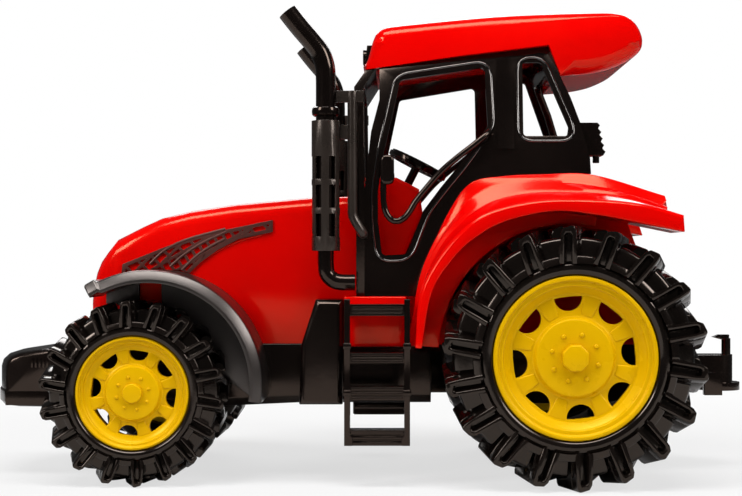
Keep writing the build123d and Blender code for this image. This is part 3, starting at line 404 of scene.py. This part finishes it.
# Corners of the openings, as shares of the cab's length from its back and of its height.
door_corners = [
    (0.813, 0.86), (0.448, 0.914), (0.438, 0.674), (0.558, 0.52), (0.639, 0.43), (0.715, 0.336),
    (0.784, 0.166), (0.89, 0.161), (0.907, 0.3), (0.907, 0.413), (0.882, 0.565),
]
quarter_corners = [(0.284, 0.934), (0.204, 0.934), (0.092, 0.668), (0.098, 0.632), (0.287, 0.632)]
polished = surface("polished black ABS", screen(6, 4, 4), (1, 0.9, 0.84, 1), 0.07, 0.14, 0.05,
                   screen(15, 10, 8), Specular_IOR_Level=1.0, Coat_Weight=1.0, Coat_Roughness=0.06)


def eased_corners(points, reach):
    """A closed outline whose corners are turned over a length of reach."""
    corners = [Vector(point) for point in points]
    loop = []
    for index, corner in enumerate(corners):
        before, after = corners[index - 1], corners[(index + 1) % len(corners)]
        start = corner + (before - corner).normalized() * min(reach, 0.45 * (before - corner).length)
        end = corner + (after - corner).normalized() * min(reach, 0.45 * (after - corner).length)
        for step in range(6):
            t = step / 5
            loop.append((1 - t) ** 2 * start + 2 * t * (1 - t) * corner + t ** 2 * end)
    return loop


def inset(loop, distance):
    """A closed outline moved inwards; it runs anticlockwise."""
    moved = []
    for index, point in enumerate(loop):
        along = (loop[(index + 1) % len(loop)] - loop[index - 1]).normalized()
        moved.append(point + Vector((-along.y, along.x)) * distance)
    return moved


def cab_y(z):
    """Distance of the cab's side from the middle, at a height."""
    return cab_half - max(0.0, z - cab_bend_z) * cab_taper


for side, flip in HANDS:
    for opening, corners, margin in (("door", door_corners, 2.2), ("quarter", quarter_corners, 1.8)):
        outline = [(cab_back + along * cab_length, cab_floor + up * cab_height) for along, up in corners]
        edge_line = inset(eased_corners(outline, corner_reach), -margin)
        line = [(x, flip * (cab_y(z) - bead_sunk), z) for x, z in edge_line]
        rod(f"{opening}_bead_{side}", line, bead_r, True, "tractor", polished)

# Seat and steering wheel: one black moulding each, pushed into the deck and the dashboard.
# They are only seen through the openings and are left as they come from the mould.
dressed(["seat", "steering_wheel"], black, 0.5)

# Roof: a thick red ABS cap that snaps over the cab frame. Its sides are flat, and their edges
# are rounded: widely along the top and under the overhang at the back, and less elsewhere.
roof_brow = [(2.4, 148.2), (0.9, 150.6), (-0.2, 154.4), (-1.3, 158.2), (-2.8, 160.8), (-5.6, 162.4),
             (-12.0, 163.3)]
roof_top = [(-12.0, 163.3), (-33.0, 165.4), (-51.0, 166.8), (-70.0, 167.5), (-84.0, 167.8), (-87.6, 167.6)]
roof_stern = [(-87.6, 167.6), (-91.4, 166.8), (-94.6, 164.7), (-96.9, 161.4), (-98.0, 157.6), (-97.4, 154.4),
              (-94.6, 151.6), (-90.8, 149.4), (-85.6, 147.3), (-79.6, 146.0), (-73.6, 145.3)]
roof_seat = [(-68.1, 145.0), (-64.0, 155.5), (-33.0, 151.7)]
roof_middle = 158.0
least_round, top_round, under_round, seat_round = 0.75, 1.35, 1.9, 0.1
roof_layers = [(37.0, 2.0), (36.8, 1.7), (36.3, 1.15), (35.5, 0.62), (34.4, 0.24), (33.0, 0.04), (31.6, 0.0)]


def part_way(value, start, end):
    """How far a value has come from start to end, from 0 to 1."""
    return min(1.0, max(0.0, (value - start) / (end - start)))


roof_outline = [Vector((1.4, 146.7)), *eased(roof_brow, 3), *eased(roof_top, 2)[1:], *eased(roof_stern, 3)[1:],
                *(Vector(point) for point in roof_seat)]
seated = (0, *range(len(roof_outline) - len(roof_seat), len(roof_outline)))
full = inset(roof_outline, 1.0)
roof_rows = []
for y, reach in [(-y, reach) for y, reach in roof_layers] + roof_layers[::-1]:
    moved = []
    for index, point in enumerate(roof_outline):
        top = part_way(point.x, -92.0, -52.0) if point.y > roof_middle else 0.0
        under = part_way(point.y, roof_middle, 153.0) * part_way(point.x, -60.0, -72.0)
        roundness = least_round + top_round * top + under_round * under
        moved.append(point + (full[index] - point) * reach * roundness)
    for index in seated:
        moved[index] = roof_outline[index] + Vector((0, seat_round * reach))
    roof_rows.append([(x, y, z) for x, z in moved])
roof = added("roof_cap", mesh_of("roof_cap", skin(roof_rows)), "tractor", red)
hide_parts("roof")

# Light bar and rear lamps: black mouldings pushed into the roof and into the cab's corners.
# The toothed lenses are the same plastic, not clear.
dressed(["roof_light_bar", *both_sides("rear_lamp")], black, 0.4)

# Exhaust stacks, grab rails and mirrors: glossy black ABS. The stacks are pushed through their
# heat guards, and the mirrors and rails are clipped to the cab. Guards and rails are greyer.
stack_x, stack_y, stack_r, stack_bore = 15.2, 48.6, 3.5, 2.6
collar_z, lower_pipe_r, mirror_rod_r = 129.0, 2.85, 1.15
collar = [(0.02, 4.2), (0.5, 4.75), (1.3, 4.9), (2.1, 4.9), (2.9, 4.7), (3.35, 4.1), (3.4, 3.5)]
bend_points = [(stack_x, 141.0), (15.5, 146.4), (17.1, 151.2), (20.0, 155.2), (23.6, 159.4), (26.2, 162.6),
               (28.6, 165.7)]
elbow_points = [(stack_x, 84.0), (stack_x, 77.0), (14.5, 73.6), (12.2, 71.6), (9.2, 71.0), (5.0, 71.0)]
mirror_points = [
    (-5.0, 48.6, 107.0), (-5.0, 48.6, 99.8), (-5.9, 48.6, 95.4), (-8.3, 48.6, 92.6), (-11.4, 48.6, 92.9),
    (-13.9, 48.6, 95.4), (-16.0, 48.6, 98.9), (-19.5, 48.6, 103.3), (-24.8, 48.6, 109.4),
    (-30.9, 48.4, 114.7), (-36.1, 47.9, 118.7), (-40.5, 46.6, 122.4), (-42.6, 44.6, 124.2),
]
head_corners = [(-8.7, 105.2), (-3.9, 105.2), (-3.9, 115.6), (-8.7, 115.6)]
head_layers = [(46.9, 0.5), (47.3, 0.0), (49.5, 0.0), (50.0, 0.35), (50.2, 0.9)]
grey_black = surface("grey-black ABS", screen(30, 25, 22), (1, 0.84, 0.74, 1), 0.22, 0.36, 0.16,
                     screen(48, 40, 35))
dressed(both_sides("muffler", "grab_rail"), grey_black, 0.35)


def pipe(points, radii, y, bore=0.0):
    """A round pipe through points (x, z) of an upright plane. A bore makes its far end hollow."""
    last = len(points) - 1
    ways = [(points[min(index + 1, last)] - points[max(index - 1, 0)]).normalized() for index in range(last + 1)]
    stations = list(zip(points, ways, radii))
    if bore:
        stations += [(points[-1], ways[-1], radii[-1] - 0.35), (points[-1], ways[-1], bore + 0.15),
                     (points[-2], ways[-2], bore), (points[-4], ways[-4], bore)]
    turns = [2 * math.pi * side / 28 for side in range(28)]
    rings = []
    for point, way, radius in stations:
        rings.append([(point.x + radius * math.cos(turn) * way.y, y + radius * math.sin(turn),
                       point.y - radius * math.cos(turn) * way.x) for turn in turns])
    return skin(rings)


bend = eased(bend_points, 4)
elbow = eased(elbow_points, 4)
upright = [Vector((stack_x, 83.5)), Vector((stack_x, collar_z))]
stack_line = upright + [Vector((stack_x, collar_z + rise)) for rise, _ in collar] + bend
stack_radii = [stack_r] * len(upright) + [radius for _, radius in collar] + [stack_r] * len(bend)
stack_parts = [pipe(stack_line, stack_radii, stack_y, stack_bore),
               pipe(elbow, [lower_pipe_r] * len(elbow), stack_y)]
head_edge = eased_corners(head_corners, 2.3)
head = skin([[(x, y, z) for x, z in inset(head_edge, reach)] for y, reach in head_layers])
for side, flip in HANDS:
    name = f"stack_pipe_{side}"
    stack = added(name, mesh_of(name, joined(stack_parts), flip), "tractor", black)
    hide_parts(f"exhaust_{side}")
    name = f"mirror_head_{side}"
    mirror = added(name, mesh_of(name, head, flip), "tractor", black)
    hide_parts(f"mirror_rail_{side}")
    line = [(x, flip * y, z) for x, y, z in eased(mirror_points, 4)]
    rod(f"mirror_rod_{side}", line, mirror_rod_r, False, "tractor", black)

# Front weight: a black ABS block with a rounded nose, a lower lip and a row of upright ribs on
# each side. It is clipped on in front of the chassis.
weight_back, bow_share, bow_half = 112.0, 0.265, 24.4
weight_outline = [Vector(point) for point in (
    (112.0, 25.0), (128.0, 25.2), (132.9, 25.8), (134.0, 27.2), (134.0, 31.0), (133.5, 31.7), (133.5, 39.4),
    (132.9, 41.8), (131.2, 43.7), (128.2, 44.9), (121.0, 46.2), (112.0, 46.4))]
weight_layers = [(26.5, 1.9), (26.2, 1.3), (25.5, 0.6), (24.4, 0.12), (23.4, 0.0)]
weight_middle = [(y, 0.0) for y in range(-20, 21, 4)]
weight_side = 26.0
weight_lip = (112.5, 25.9, 30.9, 20.3, 26.8)
weight_ribs = [(117.2 + 1.4 * rib, 39.6, 43.2, 0.7, 26.9) for rib in range(5)]
weight_rows = []
for y, reach in [(-y, reach) for y, reach in weight_layers] + weight_middle + weight_layers[::-1]:
    bow = 1 + bow_share * max(0.0, 1 - (y / bow_half) ** 2)
    loop = inset(weight_outline, reach)
    weight_rows.append([(weight_back + bow * max(0.0, x - weight_back), y, z) for x, z in loop])
weight_parts = [skin(weight_rows)]
for flip in (1, -1):
    for x, low, high, length, proud in (weight_lip, *weight_ribs):
        block = [(x, low), (x + length, low), (x + length, high), (x, high)]
        weight_parts.append(slab(block, flip * weight_side, flip * proud))
weight_mesh = mesh_of("weight_block", joined(weight_parts))
weight = added("weight_block", weight_mesh, "tractor", black, 0.15)
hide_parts("front_weight")

# Tyres: hard shiny black plastic, hollow and stiff. On the shoulder a raised rib runs round
# the wheel, climbs over each lug as a hairpin and leaves glossy pockets between the lugs.
rear_rim_r = 28.2
# Each wheel's axle (x, z), its width, how far out its face is, and the radius of its rim. It
# stands on the floor, so the height of its axle is also the radius to the tips of its lugs.
wheels = {"rear": ((rear_x, rear_z), 30.0, 68.0, rear_rim_r), "front": ((82.2, 32.5), 22.0, 56.0, 19.9)}
lugs, lug_lean = 18, 20
tyre_black = surface("tyre plastic", screen(9, 6, 5), (1, 0.82, 0.7, 1), 0.1, 0.2, 0.1, screen(26, 19, 16))


def turned(profile, steps):
    """A closed profile of (radius, y) points turned about the axle."""
    count = len(profile)
    vertices, faces = [], []
    for step in range(steps):
        angle = 2 * math.pi * step / steps
        vertices += [(r * math.cos(angle), y, r * math.sin(angle)) for r, y in profile]
        here, there = step * count, (step + 1) % steps * count
        for point in range(count):
            after = (point + 1) % count
            faces.append((here + point, here + after, there + after, there + point))
    return vertices, faces


def on_axle(shape, axle):
    """A shape moved to its axle."""
    return [(axle[0] + x, y, axle[1] + z) for x, y, z in shape[0]], shape[1]


def across_wheel(points, angle, y, slide=0.0):
    """Points (across, radius) set on the wheel at an angle, at a distance to the left."""
    sine, cosine = math.sin(angle), math.cos(angle)
    return [(radius * cosine - (across + slide) * sine, y, radius * sine + (across + slide) * cosine)
            for across, radius in points]


def tyre_shape(tip_r, width, outer_y, rim_r):
    """A tyre with its axle on the origin and its outer face to the left."""
    unit = tip_r / rear_z
    inner_y = outer_y - width
    crown = 0.915 * tip_r
    ring_in, ring_out = 0.712 * tip_r, 0.77 * tip_r
    wall = [
        (rim_r - 0.2, inner_y + 3.0), (rim_r + 0.6, inner_y + 0.9), (ring_in, inner_y + 0.2),
        (ring_out, inner_y + 0.8), (0.86 * tip_r, inner_y + 2.6 * unit), (0.9 * tip_r, inner_y + 4.6 * unit),
        (crown, inner_y + 7.5 * unit), (crown, outer_y - 9.2 * unit), (0.908 * tip_r, outer_y - 8.0 * unit),
        (0.893 * tip_r, outer_y - 7.3 * unit), (0.865 * tip_r, outer_y - 6.9 * unit),
        (0.82 * tip_r, outer_y - 6.5 * unit), (ring_out - 0.5, outer_y - 6.0 * unit),
        (ring_in + 0.8 * unit, outer_y - 4.0 * unit), (ring_in - 0.3 * unit, outer_y - 1.6 * unit),
        (ring_in - 1.6 * unit, outer_y - 1.2 * unit), (rim_r + 1.4 * unit, outer_y - 1.3 * unit),
        (rim_r + 0.4, outer_y - 1.9 * unit), (rim_r - 0.2, outer_y - 3.2 * unit),
    ]
    base, slot = 6.0 * unit, 2.7 * unit
    root, slot_end = ring_in - 0.2, tip_r - 2.7 * unit
    lug = [
        (-0.5 * base, root), (-0.47 * base, 0.86 * tip_r), (-0.43 * base, 0.94 * tip_r),
        (-0.28 * base, 0.977 * tip_r), (0.2 * base, tip_r - 0.15), (0.33 * base, tip_r - 0.3),
        (0.41 * base, 0.965 * tip_r), (0.46 * base, 0.88 * tip_r), (0.5 * base, root),
    ]
    slot_edge = [(slot / 2, root), (slot / 2, slot_end - 0.7 * unit), (0.26 * slot, slot_end)]
    hairpin = lug + slot_edge + [(-across, radius) for across, radius in reversed(slot_edge)]
    run = width / 2 + 0.6
    lean = math.tan(math.radians(lug_lean))
    start = -run * lean / 2
    depth, link_depth, link_sunk, link_slant = 4.0 * unit, 6.2 * unit, 0.1, 0.35
    pitch = 2 * math.pi / lugs
    parts = [turned(wall, 108)]
    for index in range(lugs):
        angle = pitch * index - math.pi / 2
        for form, drops in ((hairpin, (depth, 0.0)), (lug, (run, depth))):
            parts.append(skin([across_wheel(form, angle, outer_y - drop, start + drop * lean) for drop in drops]))
        far = angle + pitch / 2
        parts.append(skin([across_wheel(lug, far, inner_y + drop, start + drop * lean) for drop in (0.0, run)]))
        first = math.asin((0.4 * base + start) / ring_in)
        last = pitch + math.asin((start - 0.4 * base) / ring_in)
        arc = [angle + first + (last - first) * step / 6 for step in range(7)]
        band = [(ring_out, turn) for turn in arc] + [(ring_in, turn) for turn in reversed(arc)]
        parts.append(skin([
            [(r * math.cos(turn), outer_y - drop - slant * (r - ring_in), r * math.sin(turn)) for r, turn in band]
            for drop, slant in ((link_depth, 0.0), (link_sunk, link_slant))]))
    return joined(parts)


for end, (axle, width, outer_y, rim_r) in wheels.items():
    shape = on_axle(tyre_shape(axle[1], width, outer_y, rim_r), axle)
    for side, flip in HANDS:
        name = f"tyre_shell_{end}_{side}"
        tyre = added(name, mesh_of(name, shape, flip), f"wheel_{end}_{side}", tyre_black, 0.3)
        tyre.modifiers["edge"].segments = 2
        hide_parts(f"tyre_{end}_{side}")

# Rims: yellow ABS discs pressed into the tyres. The dish has eight half-round windows with a
# flat spoke between each two, a raised hub plate with eight bolt heads, and a stepped flange.
spokes, dish_share = 8, 0.19
bolt_r, bolt_top_r, bolt_circle = 0.85, 0.5, 8.2
# The radius of the rod, the turn of the windows in degrees, and the number of sides of the nut.
rim_fits = {"rear": (2.0, -6.0, 8), "front": (1.6, 7.5, 24)}
yellow = surface("yellow ABS", screen(208, 160, 0), (1, 0.72, 0.12, 1), 0.24, 0.36, 0.08, screen(214, 168, 0))


def rim_shape(rim_r, width, outer_y, axle_r):
    """A rim disc with its axle on the origin, before its windows are cut."""
    unit = rim_r / rear_rim_r
    inner_y = outer_y - width
    dish = outer_y - dish_share * width
    hub = 0.48 * rim_r
    back = [
        (axle_r + 0.08, inner_y + 0.6), (axle_r + 3.2, inner_y + 0.6), (axle_r + 3.2, dish - 3),
        (rim_r - 3.2, dish - 3), (rim_r - 3.2, inner_y + 3), (rim_r - 0.1, inner_y + 3),
    ]
    flange = [
        (rim_r - 0.1, outer_y - 2.2), (rim_r - 0.4, outer_y - 1.7), (0.955 * rim_r, outer_y - 1.6),
        (0.94 * rim_r, outer_y - 1.8), (0.932 * rim_r, outer_y - 2.6), (0.92 * rim_r, outer_y - 2.8),
        (0.885 * rim_r, outer_y - 2.8), (0.872 * rim_r, outer_y - 3.0), (0.864 * rim_r, outer_y - 3.8),
        (0.85 * rim_r, outer_y - 4.1),
    ]
    face = [
        (0.79 * rim_r, dish - 0.4), (0.76 * rim_r, dish - 0.6), (0.6 * rim_r, dish - 0.9),
        (hub + 1.6 * unit, dish - 0.8), (hub + 0.5 * unit, dish - 0.4), (hub, dish + 0.6),
        (hub - 0.5 * unit, dish + 1.1), (hub - 1.2 * unit, dish + 1.2), (0.5, dish + 1.2),
        (0.5, dish - 3), (axle_r + 0.08, dish - 3),
    ]
    return turned(back + flange + face, 96)


def plain(name, shape, flip):
    """An object that only serves as a tool on another."""
    thing = bpy.data.objects.new(name, mesh_of(name, shape, flip))
    scene.collection.objects.link(thing)
    return thing


def cut_mesh(shape, cutter, flip):
    """The mesh of a shape with the cutter's shape taken out of it."""
    body, tool = plain("disc", shape, flip), plain("cutter", cutter, flip)
    boolean = body.modifiers.new("cut", "BOOLEAN")
    boolean.operation = "DIFFERENCE"
    boolean.object = tool
    boolean.solver = "EXACT"
    bpy.context.view_layer.update()
    finished = bpy.data.meshes.new_from_object(body.evaluated_get(bpy.context.evaluated_depsgraph_get()))
    bpy.data.objects.remove(body)
    bpy.data.objects.remove(tool)
    return finished


for end, (axle, width, outer_y, rim_r) in wheels.items():
    axle_r, phase, nut_sides = rim_fits[end]
    unit = rim_r / rear_rim_r
    dish = outer_y - dish_share * width
    flat, deep, half = 0.735 * rim_r, 0.57 * rim_r, 0.172 * rim_r
    bow = [math.pi * step / 14 for step in range(15)]
    window = [(-0.5 * half, flat + 0.25 * unit), (0.5 * half, flat + 0.25 * unit)]
    window += [(half * math.cos(turn), flat - (flat - deep) * math.sin(turn)) for turn in bow]
    paddle = [(-1.9 * unit, 0.52 * rim_r), (1.9 * unit, 0.52 * rim_r), (3.3 * unit, 0.765 * rim_r),
              (0, 0.775 * rim_r), (-3.3 * unit, 0.765 * rim_r)]
    middle = 0.64 * rim_r
    top = [(0.86 * across, middle + 0.9 * (radius - middle)) for across, radius in paddle]
    around = [math.pi * step / 6 for step in range(12)]
    bolt, bolt_top = [
        [(r * unit * math.cos(turn), (bolt_circle + r * math.sin(turn)) * unit) for turn in around]
        for r in (bolt_r, bolt_top_r)]
    windows, trims = [], []
    for spoke in range(spokes):
        turn = math.radians(360 / spokes * spoke + phase)
        between = turn + math.pi / spokes
        windows.append(skin([across_wheel(window, turn, y) for y in (outer_y - width, outer_y + 2)]))
        for levels in (
            ((paddle, -1.3), (paddle, -0.72), (top, -0.5)),
            ((bolt, 1.0), (bolt, 1.5), (bolt_top, 1.8)),
        ):
            trims.append(skin([across_wheel(form, between, dish + rise) for form, rise in levels]))
    nut_r = 4.9 * unit
    spin = [2 * math.pi * (corner + 0.5) / nut_sides for corner in range(nut_sides)]
    nut_levels = ((dish + 0.8, nut_r), (outer_y - 2.0, nut_r), (outer_y - 1.5, 0.92 * nut_r))
    trims.append(skin([[(r * math.cos(turn), y, r * math.sin(turn)) for turn in spin] for y, r in nut_levels]))
    disc = on_axle(rim_shape(rim_r, width, outer_y, axle_r), axle)
    cutter = on_axle(joined(windows), axle)
    trim = on_axle(joined(trims), axle)
    for side, flip in HANDS:
        body = f"wheel_{end}_{side}"
        rim = added(f"rim_disc_{end}_{side}", cut_mesh(disc, cutter, flip), body, yellow, 0.25)
        added(f"rim_trim_{end}_{side}", mesh_of("trim", trim, flip), body, yellow, 0.15)
        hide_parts(f"rim_{end}_{side}")

# Floor and light: a white card that fades into a white studio. One long soft box hangs overhead
# and one stands on the far side, and one to each side of the camera gives the long highlights.
floor_mesh = bpy.data.meshes.new("floor")
floor_half = 0.45
floor_corners = [(x * floor_half, y * floor_half, 0) for x, y in ((-1, -1), (1, -1), (1, 1), (-1, 1))]
floor_mesh.from_pydata(floor_corners, [], [(0, 1, 2, 3)])
floor = bpy.data.objects.new("floor", floor_mesh)
scene.collection.objects.link(floor)
card = bpy.data.materials.new("white card")
card.use_nodes = True
card_tree = card.node_tree
card_shader = card_tree.nodes["Principled BSDF"]
card_shader.inputs["Base Color"].default_value = (0.6, 0.6, 0.6, 1)
card_shader.inputs["Roughness"].default_value = 0.9
card_shader.inputs["Specular IOR Level"].default_value = 0.1
seen = Wire(card_tree, card_tree.nodes.new("ShaderNodeLightPath").outputs["Is Camera Ray"])
spot = Wire(card_tree, card_tree.nodes.new("ShaderNodeTexCoord").outputs["Object"])
away = spot.out(spot.node("VectorMath", {"operation": "LENGTH"}, _0=spot), "Value").ramp(0.16, 0.43)
white = spot.node("Emission", Color=(1, 1, 1, 1), Strength=1.0)
shade_seen = 0.32
faded = spot.node("MixShader", Fac=seen * (1 - shade_seen * (1 - away)), _1=spot.out(card_shader),
                  _2=spot.out(white))
card_tree.links.new(faded.outputs[0], card_tree.nodes["Material Output"].inputs["Surface"])
floor_mesh.materials.append(card)

world = bpy.data.worlds.new("studio")
scene.world = world
world.use_nodes = True
sky_tree = world.node_tree
sky = sky_tree.nodes["Background"]
sky.inputs["Color"].default_value = (1, 1, 1, 1)
fill = 0.07
camera_ray = Wire(sky_tree, sky_tree.nodes.new("ShaderNodeLightPath").outputs["Is Camera Ray"])
camera_ray.feed(sky.inputs["Strength"], fill + (1 - fill) * camera_ray)


toy_middle = Vector((0, 0, 0.08))


def soft_box(name, place, size, watts):
    """A studio soft box that looks at the toy."""
    lamp = bpy.data.lights.new(name, "AREA")
    lamp.shape = "RECTANGLE"
    lamp.size, lamp.size_y = size
    lamp.energy = watts
    holder = bpy.data.objects.new(name, lamp)
    holder.location = place
    holder.rotation_euler = (toy_middle - Vector(place)).to_track_quat("-Z", "Y").to_euler()
    scene.collection.objects.link(holder)


soft_box("overhead box", (0.05, 0.35, 0.9), (0.8, 0.3), 9.0)
soft_box("front box", (0.75, 0.62, 0.58), (0.3, 0.4), 5.6)
soft_box("rear box", (-0.76, 0.52, 0.58), (0.3, 0.4), 4.8)
soft_box("far box", (-0.05, -0.75, 0.6), (0.8, 0.3), 4.0)

# Camera: level with the hood and square to the tractor's left side. Its focal length and its
# shift are those that set the wheels, the cab and the hitch where the photograph shows them.
focal_px, photo_px, film = 1575, 742, 36
camera_data = bpy.data.cameras.new("camera")
camera_data.sensor_width = film
camera_data.lens = focal_px / photo_px * film
camera_data.shift_x = -0.035
camera_data.shift_y = 0.0108
camera_data.clip_start = 0.01
camera = bpy.data.objects.new("camera", camera_data)
camera.location = (-0.0097, 0.6, 0.0802)
camera.rotation_euler = (math.radians(90), 0, math.radians(180))
scene.collection.objects.link(camera)
scene.camera = camera
